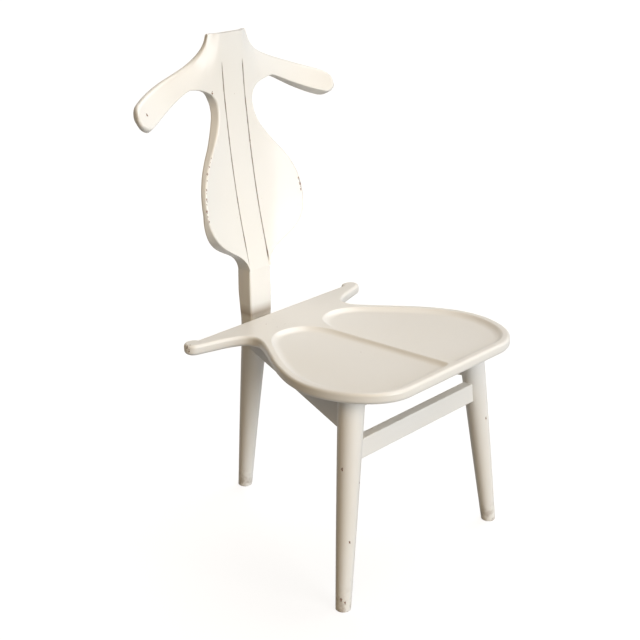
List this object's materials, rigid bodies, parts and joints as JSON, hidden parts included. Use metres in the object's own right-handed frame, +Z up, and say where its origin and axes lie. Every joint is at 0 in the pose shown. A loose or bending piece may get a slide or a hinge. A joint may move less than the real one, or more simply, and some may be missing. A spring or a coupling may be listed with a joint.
{
  "type": "clothes valet chair",
  "caption": "Three-legged wooden valet chair with a coat-hanger back, a dished seat that lifts on front hinges to hold trousers, and a shallow triangular tray under the seat.",
  "frame": {"origin": "on the floor, under the middle of the chair's overall outline", "axes": "+Z up, -Y towards the chair's front, +X to the right of someone who looks at the front"},
  "size_m": [0.5178, 0.584, 0.95],
  "materials": {
    "lacquer": "glossy warm ivory lacquer that hides the grain",
    "bare_wood": "unpainted wood",
    "brass": "satin brass",
    "felt": "dark felt"
  },
  "bodies": {
    "frame": {"rear_post": "lacquer", "back_wing_left": "lacquer", "back_wing_right": "lacquer", "wing_dowels": "bare_wood", "front_leg_left": "lacquer", "front_leg_right": "lacquer", "front_stretcher": "lacquer", "hinge_rail": "lacquer", "side_rail_left": "lacquer", "side_rail_right": "lacquer", "tray_bottom": "lacquer", "tray_wall": "lacquer", "tray_ledge_left": "bare_wood", "tray_ledge_right": "bare_wood", "tray_screws": "brass", "seat_buffers": "felt", "frame_hinge_leaf_left": "brass", "frame_hinge_leaf_right": "brass", "hinge_pin_left": "brass", "hinge_pin_right": "brass", "frame_hinge_screws": "brass"},
    "seat_board": {"seat": "lacquer", "seat_hinge_leaf_left": "brass", "seat_hinge_leaf_right": "brass", "seat_hinge_screws": "brass"}
  },
  "joints": [
    {"name": "seat_lift", "type": "hinge", "parent": "frame", "child": "seat_board", "pos_m": [0, -0.21902, 0.39837], "axis": [1, 0, 0], "range_deg": [0, 97]}
  ]
}
